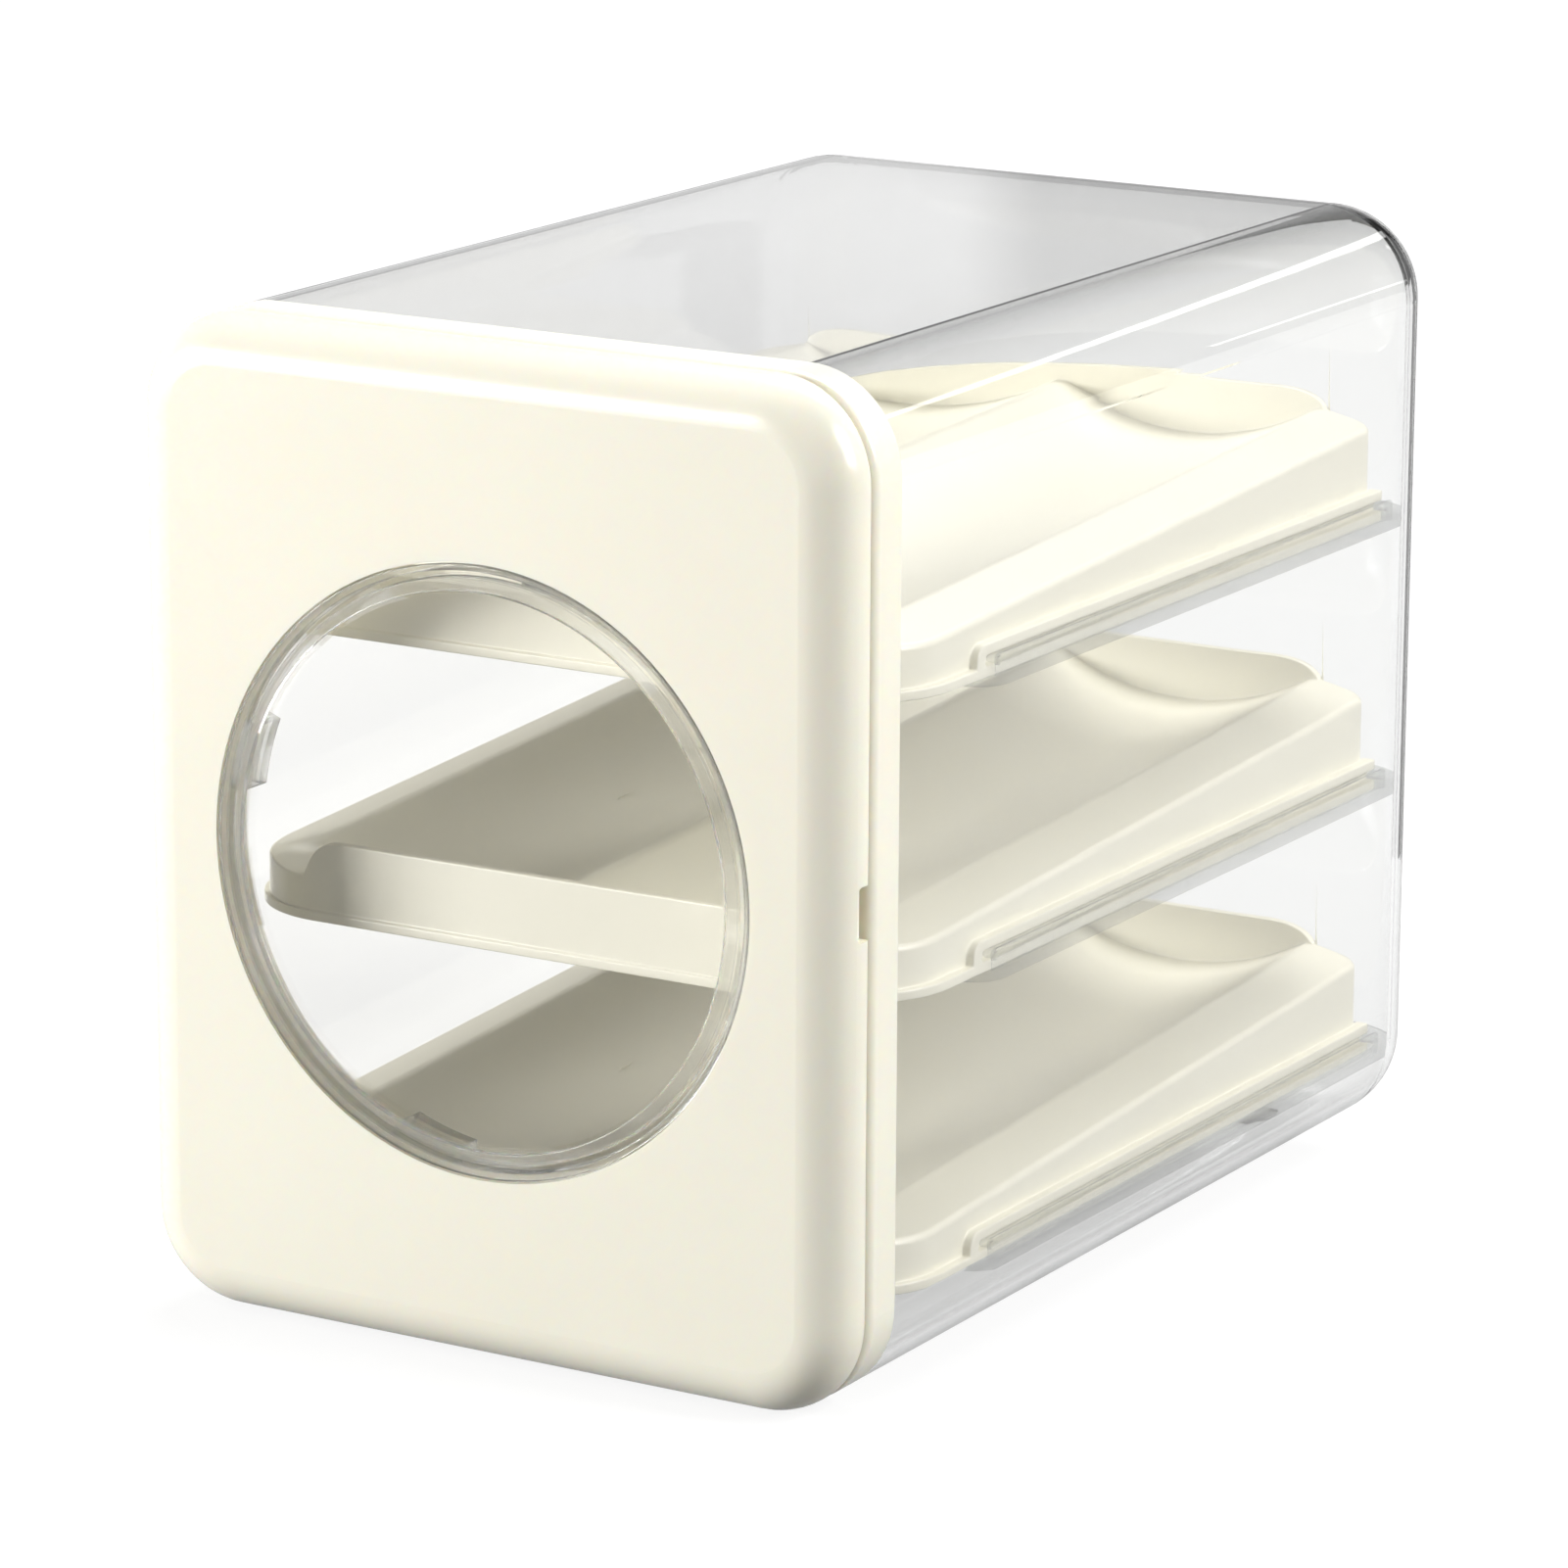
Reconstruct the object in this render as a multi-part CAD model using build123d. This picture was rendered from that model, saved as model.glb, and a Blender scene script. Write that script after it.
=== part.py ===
from math import sqrt
import os

from build123d import *

# Egg dispenser: a clear box with three shelves, a moulded front frame, a hinged front door with a
# round clear window, and three sloping trays that slide out. Millimetres, +Z up, front towards -Y.
# The origin is at the centre of the base, on the surface the box stands on.

# Overall form
case_width = 170.0
case_top = 213.0
case_depth = 268.0
corner_radius = 21.0
back_edge_radius = 19.0
foot_height = 0.8

half_width = case_width / 2
front_y = -case_depth / 2
back_y = case_depth / 2

# Fore and aft positions of the front parts
door_thickness = 11.4
door_gap = 1.2
frame_depth = 10.1
door_rear_y = front_y + door_thickness
frame_front_y = door_rear_y + door_gap
shell_front_y = frame_front_y + frame_depth

# Clear shell
shell_wall = 2.2
tongue_length = 3.0
tongue_step = 1.15
bond_gap = 0.1
shell_inner_half = half_width - shell_wall

# Shelves, with a guide channel for a tray's runner along each side
lowest_shelf_top = 19.5
shelf_pitch = 62.0
shelf_thickness = 2.0
shelf_setback = 38.3
shelf_corner_radius = 8.0
guide_channel_width = 3.9
guide_overrun = 1.5
guide_rim_thickness = 1.3
guide_rim_height = 4.9
guide_rib_gap = 0.4
guide_rib_low = 2.7
guide_rib_high = 4.3
guide_rib_nose = 0.75
levels = ("lower", "middle", "upper")
shelf_tops = {level: lowest_shelf_top + i * shelf_pitch for i, level in enumerate(levels)}
shelf_front_y = shell_front_y + shelf_setback
shelf_half = shell_inner_half - bond_gap

# Trays: body
tray_lift = 0.2
tray_front_gap = 2.3
tray_back_gap = 24.5
tray_front_radius = 22.0
tray_back_radius = 5.0
tray_wall = 2.2
tray_slope = 0.053
shoulder_width = 13.3
shoulder_drop = 3.0
shoulder_edge_radius = 1.6
crest_at_front = 13.0
trough_depth = 9.0
ridge_rounding = 5.0
crest_rounding = 4.0
ramp_length = 18.0
ramp_front_height = 9.2
tray_half = shelf_half - guide_channel_width
tray_front_y = shell_front_y + tray_front_gap
tray_back_y = back_y - tray_back_gap
crest_half = tray_half - shoulder_width

# Trays: lips
lip_height = 17.3
lip_foot_inset = 18.3
lip_end_run = 9.5
lip_foot_sink = 1.0
back_lip_height = 28.3
back_lip_foot_inset = 11.8
back_lip_end_run = 21.0
back_lip_foot_height = 24.0
lip_reach = 17.0
back_lip_reach = 11.5
foot_lip_height = 2.2
foot_lip_front = 0.6

# Trays: side runners and the ribs under the bed
runner_width = 2.0
runner_height = 7.0
runner_overhang = 2.0
runner_nose_radius = 3.4
groove_low = 2.2
groove_high = 4.6
groove_setback = 1.5
groove_nose_radius = 1.0
tray_rib_thickness = 1.6
tray_rib_clearance = 0.3
tray_cross_ribs = (72.0, 144.0)
runner_half = tray_half + runner_width

# Front frame
frame_wall = 3.2
frame_edge_radius = 2.0

# Hinge, in two places on the left side
hinge_inset = 3.7
hinge_setback = 5.4
hinge_from_base = 46.5
hinge_from_top = 45.5
hinge_arm_length = 12.0
hinge_end_gap = 0.3
hinge_arm_radius = 2.0
hinge_web_half = 1.5
hinge_boss_length = 6.0
hinge_boss_radius = 2.0
hinge_boss_inset = 0.6
hinge_notch_depth = 6.9
hinge_notch_width = 7.7
pin_radius = 1.0
pin_running_clearance = 0.05
pin_stop = 0.5
pin_chamfer = 0.2
hinge_x = hinge_inset - half_width
hinge_y = door_rear_y + hinge_setback
hinge_heights = (hinge_from_base, case_top - hinge_from_top)

# Door panel
door_edge_radius = 10.0
door_rear_radius = 1.0
door_skin = 2.6
door_rim = 5.0
door_hollow_radius = 5.0
door_rib_thickness = 1.6
door_rib_offset = 34.0
window_z = 105.0
window_radius = 64.3
collar_thickness = 3.0
notch_height = 11.4
notch_z = 106.9
notch_depth_y = 4.2
notch_depth_x = 2.4
notch_corner = 1.6

# Catches: a tongue on the door snaps into a recess in the frame, level with each hinge
catch_height = 8.0
catch_thickness = 1.6
catch_reach = 6.0
catch_clearance = 0.3
catch_nub = 0.25
catch_nub_setback = 0.8
catch_nub_length = 1.0
catch_lead_in = 0.5
catch_recess_depth = 0.7
catch_recess_margin = 0.4

# Window lens
lens_gap = 0.4
lens_flange_width = 5.6
lens_flange_thickness = 1.6
lens_wall_inset = 1.5
lens_wall_thickness = 1.5
lens_depth = 6.6
lens_disc_front = 1.9
lens_disc_thickness = 1.6
lens_disc_overlap = 0.5
snap_width = 16.0
snap_angles = (15.0, 105.0, 195.0, 285.0)
snap_reach = 2.2
snap_length = 1.8
snap_gap = 0.15

# Feet
foot_radius = 6.0
foot_recess = 0.6
foot_edge = 0.3
foot_inset_x = 28.0
foot_inset_y = 33.0

# How far a cutting or trimming solid runs past the face that it cuts
past = 1.0

os.makedirs("parts", exist_ok=True)


def front_plane(y):
    """Plane facing the front at depth y: local x is +X, local y is +Z."""
    return Plane(origin=(0, y, 0), x_dir=(1, 0, 0), z_dir=(0, -1, 0))


def case_slab(inset, y_front, y_back):
    """The upright rounded outline shared by door, frame and shell, inset by a wall thickness."""
    low = foot_height + inset
    high = case_top - inset
    outline = RectangleRounded(2 * (half_width - inset), high - low, corner_radius - inset)
    placed = front_plane(y_front) * (Pos(0, (low + high) / 2) * outline)
    return extrude(placed, amount=-(y_back - y_front))


def block(x0, x1, y0, y1, z0, z1):
    """Box between two opposite corners, given in any order."""
    centre = Pos((x0 + x1) / 2, (y0 + y1) / 2, (z0 + z1) / 2)
    return centre * Box(abs(x1 - x0), abs(y1 - y0), abs(z1 - z0))


def upright_pin(x, y, z0, z1, radius):
    """Vertical cylinder from z0 to z1."""
    return Pos(x, y, (z0 + z1) / 2) * Cylinder(radius, z1 - z0)


# Clear shell: one moulding with a closed, rounded back and a tongue that enters the frame
def rounded_back(inset, y_front):
    solid = case_slab(inset, y_front, back_y - inset)
    rear_edges = solid.faces().sort_by(Axis.Y)[-1].edges()
    return fillet(rear_edges, back_edge_radius - inset)


tongue_front_y = shell_front_y - tongue_length
shell_cavity = rounded_back(shell_wall + bond_gap, shell_front_y)
shell = rounded_back(0.0, shell_front_y) - rounded_back(shell_wall, shell_front_y - past)
tongue = case_slab(tongue_step, tongue_front_y, shell_front_y)
tongue -= case_slab(shell_wall, tongue_front_y - past, shell_front_y + past)
shell += tongue
foot_x = half_width - foot_inset_x
foot_y = back_y - foot_inset_y
foot_top = foot_height + foot_recess
foot_places = {
    "foot_left_front": (-foot_x, -foot_y),
    "foot_left_rear": (-foot_x, foot_y),
    "foot_right_front": (foot_x, -foot_y),
    "foot_right_rear": (foot_x, foot_y),
}
for x, y in foot_places.values():
    shell -= upright_pin(x, y, 0, foot_top, foot_radius + bond_gap)
export_step(shell, "parts/shell.step")

# Soft foot pads, bonded into shallow round recesses under the shell
for name, (x, y) in foot_places.items():
    pad = upright_pin(x, y, 0, foot_top, foot_radius)
    pad = chamfer(pad.edges().sort_by(Axis.Z)[0], foot_edge)
    export_step(pad, "parts/" + name + ".step")


# Shelf: a clear plate bonded across the shell, with a guide channel along each side
def make_shelf(top):
    underside = top - shelf_thickness
    rim_top = top + guide_rim_height
    rim_face = shelf_half - guide_rim_thickness
    guide_end_y = tray_back_y + guide_overrun
    shelf = block(-shelf_half, shelf_half, shelf_front_y, back_y, underside, rim_top)
    shelf = fillet(shelf.edges().filter_by(Axis.Z).group_by(Axis.Y)[0], shelf_corner_radius)
    shelf -= block(-rim_face, rim_face, shelf_front_y - past, back_y, top, rim_top + past)
    shelf -= block(-half_width, half_width, guide_end_y, back_y, top, rim_top + past)
    for side in (-1, 1):
        rib = block(
            side * (shelf_half - guide_rim_thickness / 2),
            side * (tray_half + guide_rib_gap),
            shelf_front_y + shelf_corner_radius / 2,
            guide_end_y,
            top + guide_rib_low,
            top + guide_rib_high,
        )
        nose = rib.edges().filter_by(Axis.X).group_by(Axis.Y)[0]
        shelf += fillet(nose, guide_rib_nose)
    return shelf & shell_cavity


for level, top in shelf_tops.items():
    export_step(make_shelf(top), "parts/shelf_" + level + ".step")


# Tray: a thin moulding with two troughs side by side, sloping down to the front lip
def footprint(inset, z0, z1):
    """Plan outline of the tray, inset by a wall thickness, as an upright solid."""
    half = tray_half - inset
    front = tray_front_y + inset
    back = tray_back_y - inset
    outline = Pos(0, (front + back) / 2) * Rectangle(2 * half, back - front)
    outline = fillet(outline.vertices().group_by(Axis.Y)[-1], tray_back_radius - inset)
    outline = fillet(outline.vertices().group_by(Axis.Y)[0], tray_front_radius - inset)
    return extrude(Plane.XY.offset(z0) * outline, amount=z1 - z0)


def bed(drop, z0):
    """Solid under the bed: crests, troughs and centre ridge carried back up the slope."""
    reach = tray_half + past
    fall = shoulder_drop * (reach - crest_half) / shoulder_width
    depth = 2 * shelf_pitch
    right = [
        Line((reach, -depth), (reach, -fall)),
        Line((reach, -fall), (crest_half, 0)),
        ThreePointArc((crest_half, 0), (crest_half / 2, -trough_depth), (0, 0)),
    ]
    left = [
        ThreePointArc((0, 0), (-crest_half / 2, -trough_depth), (-crest_half, 0)),
        Line((-crest_half, 0), (-reach, -fall)),
        Line((-reach, -fall), (-reach, -depth)),
        Line((-reach, -depth), (reach, -depth)),
    ]
    outline = make_face(right + left)
    ridge = outline.vertices().sort_by_distance((0, 0, 0))[0]
    outline = fillet(ridge, ridge_rounding)
    crests = [
        outline.vertices().sort_by_distance((crest_half, 0, 0))[0],
        outline.vertices().sort_by_distance((-crest_half, 0, 0))[0],
    ]
    outline = fillet(crests, crest_rounding)
    margin = tray_front_radius
    start_y = tray_front_y - margin
    start_z = z0 + crest_at_front - drop - tray_slope * margin
    run = tray_back_y - tray_front_y + 2 * margin
    stretch = sqrt(1 + tray_slope**2)
    slope = Vector(0, 1 / stretch, tray_slope / stretch)
    placed = Pos(0, 0, start_z) * (front_plane(start_y) * outline)
    return extrude(placed, amount=run * stretch, dir=slope)


def under_ramp(z0, drop):
    """Side profile that lets the crests and front corners dip towards the lip."""
    run = tray_back_y - tray_front_y
    ramp_start_y = tray_front_y + ramp_length
    ramp_top = crest_at_front + tray_slope * ramp_length
    ceiling = crest_at_front + tray_slope * run + back_lip_height
    profile = Polyline(
        (tray_front_y - past, -shelf_pitch),
        (tray_front_y - past, ramp_front_height),
        (tray_front_y, ramp_front_height),
        (ramp_start_y, ramp_top),
        (ramp_start_y, ceiling),
        (tray_back_y + past, ceiling),
        (tray_back_y + past, -shelf_pitch),
        close=True,
    )
    side = Plane(origin=(-half_width, 0, z0 - drop), x_dir=(0, 1, 0), z_dir=(1, 0, 0))
    return extrude(side * make_face(profile), amount=case_width)


def lip_slab(z0, height, foot_half, end_run, foot_height_z, y0, y1):
    """Front view of a lip: level in the middle, with an S curve down to the rim at each end."""
    half = foot_half - end_run
    top = z0 + height
    foot = z0 + foot_height_z
    base = z0 - past
    leave = (1, 0)
    arrive = (0.45, -0.9)
    outline = make_face(
        [
            Spline((-foot_half, foot), (-half, top), tangents=((arrive[0], -arrive[1]), leave)),
            Line((-half, top), (half, top)),
            Spline((half, top), (foot_half, foot), tangents=(leave, arrive)),
            Line((foot_half, foot), (foot_half, base)),
            Line((foot_half, base), (-foot_half, base)),
            Line((-foot_half, base), (-foot_half, foot)),
        ]
    )
    return extrude(front_plane(y0) * outline, amount=-(y1 - y0))


def make_tray(shelf_top):
    z0 = shelf_top + tray_lift
    ceiling = z0 + shelf_pitch
    outer = footprint(0.0, z0, ceiling)
    inner = footprint(tray_wall, z0 - past, ceiling + past)
    core = footprint(tray_wall / 2, z0 - past, ceiling + past)
    solid = outer & bed(0.0, z0) & under_ramp(z0, 0.0)
    flanks = solid.edges().group_by(Axis.X)
    shoulder_edges = [flanks[side].sort_by(Axis.Z)[-1] for side in (0, -1)]
    solid = fillet(shoulder_edges, shoulder_edge_radius)
    hollow = inner & bed(tray_wall, z0) & under_ramp(z0, tray_wall)
    tray = solid - hollow
    # The front lip, and the wall at the back
    wall_ring = outer - inner
    tray += wall_ring & lip_slab(
        z0,
        lip_height,
        tray_half - lip_foot_inset,
        lip_end_run,
        ramp_front_height - lip_foot_sink,
        tray_front_y - past,
        tray_front_y + lip_reach,
    )
    tray += wall_ring & lip_slab(
        z0,
        back_lip_height,
        tray_half - back_lip_foot_inset,
        back_lip_end_run,
        back_lip_foot_height,
        tray_back_y - back_lip_reach,
        tray_back_y + past,
    )
    # Foot lip around the base
    lip_front_y = tray_front_y - foot_lip_front
    foot_lip = Rectangle(2 * runner_half, tray_back_y - lip_front_y)
    foot_lip = Pos(0, (tray_back_y + lip_front_y) / 2) * foot_lip
    foot_lip = fillet(foot_lip.vertices().group_by(Axis.Y)[0], tray_front_radius + runner_width)
    tray += extrude(Plane.XY.offset(z0) * foot_lip, amount=foot_lip_height) - core
    # A runner along each side, grooved for the shelf's guide rib
    for side in (-1, 1):
        runner = block(
            side * (tray_half - tray_wall / 2),
            side * runner_half,
            shelf_front_y - runner_overhang,
            tray_back_y,
            z0,
            z0 + runner_height,
        )
        upper_nose = runner.edges().filter_by(Axis.X).group_by(Axis.Y)[0].sort_by(Axis.Z)[-1]
        tray += fillet(upper_nose, runner_nose_radius)
        groove = block(
            side * tray_half,
            side * (runner_half + past),
            shelf_front_y + groove_setback,
            tray_back_y + past,
            z0 + groove_low,
            z0 + groove_high,
        )
        tray -= fillet(groove.edges().filter_by(Axis.X).group_by(Axis.Y)[0], groove_nose_radius)
    # Stiffening ribs under the bed
    half_rib = tray_rib_thickness / 2
    rib_base = z0 + tray_rib_clearance
    side_reach = tray_half - tray_wall / 2
    front_reach = tray_front_y + tray_wall / 2
    back_reach = tray_back_y - tray_wall / 2
    ribs = block(-half_rib, half_rib, front_reach, back_reach, rib_base, ceiling)
    for place in tray_cross_ribs:
        y = tray_front_y + place
        ribs += block(-side_reach, side_reach, y - half_rib, y + half_rib, rib_base, ceiling)
    tray += ribs & bed(tray_wall / 2, z0)
    return tray


for level, top in shelf_tops.items():
    export_step(make_tray(top), "parts/tray_" + level + ".step")


# Front frame: a moulded band bonded over the shell's tongue, with hinge bosses on its left side
def hinge_span(z):
    """Heights between the bosses of the hinge centred at z."""
    half = hinge_arm_length / 2 + hinge_end_gap
    return z - half, z + half


def pin_span(z):
    """Heights of the pin's ends in the hinge centred at z."""
    low, high = hinge_span(z)
    return low - hinge_boss_length + pin_stop, high + hinge_boss_length - pin_stop


frame = case_slab(0.0, frame_front_y, shell_front_y)
frame = fillet(frame.faces().sort_by(Axis.Y)[0].edges(), frame_edge_radius)
frame -= case_slab(frame_wall, frame_front_y - past, shell_front_y + past)
frame -= case_slab(tongue_step - bond_gap, tongue_front_y - bond_gap, shell_front_y + past)
for z in hinge_heights:
    low, high = hinge_span(z)
    for z0, z1 in ((low - hinge_boss_length, low), (high, high + hinge_boss_length)):
        frame += upright_pin(hinge_x, hinge_y, z0, z1, hinge_boss_radius)
        frame += block(
            hinge_boss_inset - half_width,
            hinge_x,
            hinge_y - hinge_boss_radius,
            hinge_y + hinge_boss_radius,
            z0,
            z1,
        )
    frame -= block(
        -half_width - past,
        hinge_notch_width - half_width,
        frame_front_y - past,
        frame_front_y + hinge_notch_depth,
        low,
        high,
    )
    frame -= upright_pin(hinge_x, hinge_y, *pin_span(z), pin_radius)
inner_face = half_width - frame_wall
catch_end_y = door_rear_y + catch_reach
nub_front_y = catch_end_y - catch_nub_setback - catch_nub_length
for z in hinge_heights:
    half_recess = catch_height / 2 + catch_recess_margin
    frame -= block(
        inner_face - past,
        inner_face + catch_recess_depth,
        nub_front_y - catch_recess_margin,
        catch_end_y + catch_recess_margin,
        z - half_recess,
        z + half_recess,
    )
export_step(frame, "parts/front_frame.step")

# Hinge pins: plain steel pins held in the frame bosses
for name, z in zip(("hinge_pin_lower", "hinge_pin_upper"), hinge_heights):
    pin = upright_pin(hinge_x, hinge_y, *pin_span(z), pin_radius)
    export_step(chamfer(pin.edges(), pin_chamfer), "parts/" + name + ".step")


# Door panel: a moulded skin with full rounded edges, hollow behind, with hinge arms and catches
def window_tube(radius, y0, y1):
    """Round solid on the window's axis."""
    circle = Pos(0, window_z) * Circle(radius)
    return extrude(front_plane(y0) * circle, amount=-(y1 - y0))


door = case_slab(0.0, front_y, door_rear_y)
door = fillet(door.faces().sort_by(Axis.Y)[0].edges(), door_edge_radius)
door = fillet(door.faces().sort_by(Axis.Y)[-1].edges(), door_rear_radius)
door_hollow = case_slab(door_rim, front_y + door_skin, door_rear_y + past)
door_hollow = fillet(door_hollow.faces().sort_by(Axis.Y)[0].edges(), door_hollow_radius)
door_hollow -= window_tube(window_radius + collar_thickness, front_y, door_rear_y + 2 * past)
for side in (-1, 1):
    door_hollow -= block(
        side * door_rib_offset - door_rib_thickness / 2,
        side * door_rib_offset + door_rib_thickness / 2,
        front_y,
        door_rear_y + 2 * past,
        0,
        case_top,
    )
door -= door_hollow
door -= window_tube(window_radius, front_y - past, door_rear_y + past)
for z in hinge_heights:
    z0 = z - hinge_arm_length / 2
    z1 = z + hinge_arm_length / 2
    web = (hinge_x - hinge_web_half, hinge_x + hinge_web_half)
    door += block(*web, door_rear_y - past, hinge_y, z0, z1)
    door += upright_pin(hinge_x, hinge_y, z0, z1, hinge_arm_radius)
    door -= upright_pin(hinge_x, hinge_y, z0 - past, z1 + past, pin_radius + pin_running_clearance)
notch = block(
    half_width - notch_depth_x,
    half_width + past,
    door_rear_y - notch_depth_y,
    door_rear_y + past,
    notch_z - notch_height / 2,
    notch_z + notch_height / 2,
)
door -= fillet(notch.edges().filter_by(Axis.X).group_by(Axis.Y)[0], notch_corner)
catch_outer_x = inner_face - catch_clearance
catch_inner_x = catch_outer_x - catch_thickness
for z in hinge_heights:
    z0 = z - catch_height / 2
    z1 = z + catch_height / 2
    catch = block(catch_inner_x, catch_outer_x, door_rear_y - past, catch_end_y, z0, z1)
    catch = chamfer(catch.edges().filter_by(Axis.Z).group_by(Axis.Y)[-1], catch_lead_in)
    nub_end_y = nub_front_y + catch_nub_length
    nub = block(catch_inner_x, catch_outer_x + catch_nub, nub_front_y, nub_end_y, z0, z1)
    door += catch + nub
export_step(door, "parts/door_panel.step")


# Window lens: a clear cup whose flange sits in the round opening; snaps hook behind the collar
def window_ring(inner, outer, y0, y1):
    """Ring on the window's axis."""
    return window_tube(outer, y0, y1) - window_tube(inner, y0 - past, y1 + past)


lens_radius = window_radius - lens_gap
lens_wall_outer = lens_radius - lens_wall_inset
lens_wall_inner = lens_wall_outer - lens_wall_thickness
lens_clear_radius = lens_radius - lens_flange_width
lens_rear_y = front_y + lens_depth
disc_y = front_y + lens_disc_front
lens = window_ring(lens_clear_radius, lens_radius, front_y, front_y + lens_flange_thickness)
lens += window_ring(lens_wall_inner, lens_wall_outer, front_y, lens_rear_y)
lens += window_tube(lens_wall_outer - lens_disc_overlap, disc_y, disc_y + lens_disc_thickness)
hook_y = door_rear_y + snap_gap
snap_end_y = hook_y + snap_length
snap_ring = window_ring(lens_wall_inner, window_radius + snap_reach, hook_y, snap_end_y)
snap_ring += window_ring(lens_wall_inner, lens_wall_outer, lens_rear_y - past, snap_end_y)
for angle in snap_angles:
    sector = block(
        lens_wall_inner - past,
        window_radius + snap_reach + past,
        front_y - past,
        snap_end_y + past,
        -snap_width / 2,
        snap_width / 2,
    )
    lens += snap_ring & (Pos(0, 0, window_z) * Rot(0, angle, 0) * sector)
export_step(lens, "parts/window_lens.step")
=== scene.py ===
import math

import bmesh
import bpy
from mathutils import Matrix, Vector


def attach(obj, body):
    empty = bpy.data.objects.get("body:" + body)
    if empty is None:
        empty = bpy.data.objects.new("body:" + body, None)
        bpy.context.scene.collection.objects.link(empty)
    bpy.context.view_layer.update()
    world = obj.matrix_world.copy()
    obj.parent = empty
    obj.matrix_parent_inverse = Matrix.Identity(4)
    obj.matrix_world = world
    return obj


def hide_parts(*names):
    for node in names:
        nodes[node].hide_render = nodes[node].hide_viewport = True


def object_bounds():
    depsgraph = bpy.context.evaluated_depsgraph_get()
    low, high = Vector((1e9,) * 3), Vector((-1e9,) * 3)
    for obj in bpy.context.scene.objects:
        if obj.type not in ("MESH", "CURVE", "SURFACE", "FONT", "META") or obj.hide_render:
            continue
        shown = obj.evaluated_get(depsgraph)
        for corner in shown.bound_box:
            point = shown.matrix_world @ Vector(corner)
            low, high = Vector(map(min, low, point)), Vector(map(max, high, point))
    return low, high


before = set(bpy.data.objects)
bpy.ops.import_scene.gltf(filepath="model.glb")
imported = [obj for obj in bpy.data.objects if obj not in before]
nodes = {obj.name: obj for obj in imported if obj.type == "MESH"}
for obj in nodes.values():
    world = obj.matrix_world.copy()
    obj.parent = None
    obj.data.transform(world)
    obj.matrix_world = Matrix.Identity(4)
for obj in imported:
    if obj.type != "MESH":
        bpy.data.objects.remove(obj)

cad_low, cad_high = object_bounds()
scene = bpy.context.scene

# Camera: a long lens at the box's front right, a little above it, as such products are shown.
# Its place and turn were fitted to the photograph's outline, with no shift.
camera_place = Vector((0.7379, -1.2499, 0.4616))
camera_yaw = 0.538
camera_pitch = 0.2472
camera_roll = 0.0049
camera_sensor_mm = 36.0
camera_lens_mm = 157.46
camera_data = bpy.data.cameras.new("camera")
camera_data.sensor_width = camera_sensor_mm
camera_data.lens = camera_lens_mm
camera = bpy.data.objects.new("camera", camera_data)
scene.collection.objects.link(camera)
camera.matrix_world = (
    Matrix.Translation(camera_place)
    @ Matrix.Rotation(camera_yaw, 4, "Z")
    @ Matrix.Rotation(math.pi / 2 - camera_pitch, 4, "X")
    @ Matrix.Rotation(camera_roll, 4, "Z")
)
scene.camera = camera

# Clear box: one injection moulding in clear polystyrene, 2.2 mm thick, closed at the back. The thick
# light paths in its rounded edges look grey, and a painted shade darkens the plastic further where it
# is seen edge-on; the flat walls look almost empty. A very slight waviness comes from the mould.
clear_ior = 1.52
clear_tint = (0.945, 0.948, 0.945, 1.0)
# Painted shade: the dark colour the plastic takes where its surface is seen edge-on.
clear_painted_rim_shade = (0.10, 0.10, 0.095, 1.0)
clear_wave_scale = 22.0
clear_shadow = 0.98
clear_depth_colour = (0.0, 0.0, 0.02, 1.0)
clear_absorption = 8.0


def add_node(tree, kind, inputs=None, **settings):
    """Add a node, set its properties, and set or link its inputs by name or number."""
    node = tree.nodes.new(kind)
    for name, value in settings.items():
        setattr(node, name, value)
    for key, value in (inputs or {}).items():
        if isinstance(value, bpy.types.NodeSocket):
            tree.links.new(value, node.inputs[key])
        else:
            node.inputs[key].default_value = value
    return node


def new_material(name):
    """An empty node material with its output, ready for a shader."""
    material = bpy.data.materials.new(name)
    material.use_nodes = True
    material.node_tree.nodes.clear()
    output = add_node(material.node_tree, "ShaderNodeOutputMaterial")
    return material, material.node_tree, output


def blend_colours(tree, factor, first, second):
    """The colour between two others, by a factor from 0 to 1."""
    node = tree.nodes.new("ShaderNodeMix")
    node.data_type = "RGBA"
    tree.links.new(factor, node.inputs[0])
    for socket, colour in ((node.inputs[6], first), (node.inputs[7], second)):
        if isinstance(colour, bpy.types.NodeSocket):
            tree.links.new(colour, socket)
        else:
            socket.default_value = colour
    return node.outputs[2]


def dress(name, material):
    """Give a CAD node its one finish."""
    mesh = nodes[name].data
    mesh.materials.clear()
    mesh.materials.append(material)


def beyond_disc(tree, place, height, radius):
    """1 outside an upright round disc centred at this height, and 0 within it."""
    across = add_node(
        tree, "ShaderNodeVectorMath", {0: place, 1: (1.0, 0.0, 1.0)}, operation="MULTIPLY"
    )
    reach = add_node(
        tree, "ShaderNodeVectorMath", {0: across.outputs[0], 1: (0.0, 0.0, height)}, operation="DISTANCE"
    )
    beyond = add_node(
        tree, "ShaderNodeMath", {0: reach.outputs["Value"], 1: radius}, operation="GREATER_THAN"
    )
    return beyond.outputs[0]


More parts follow.
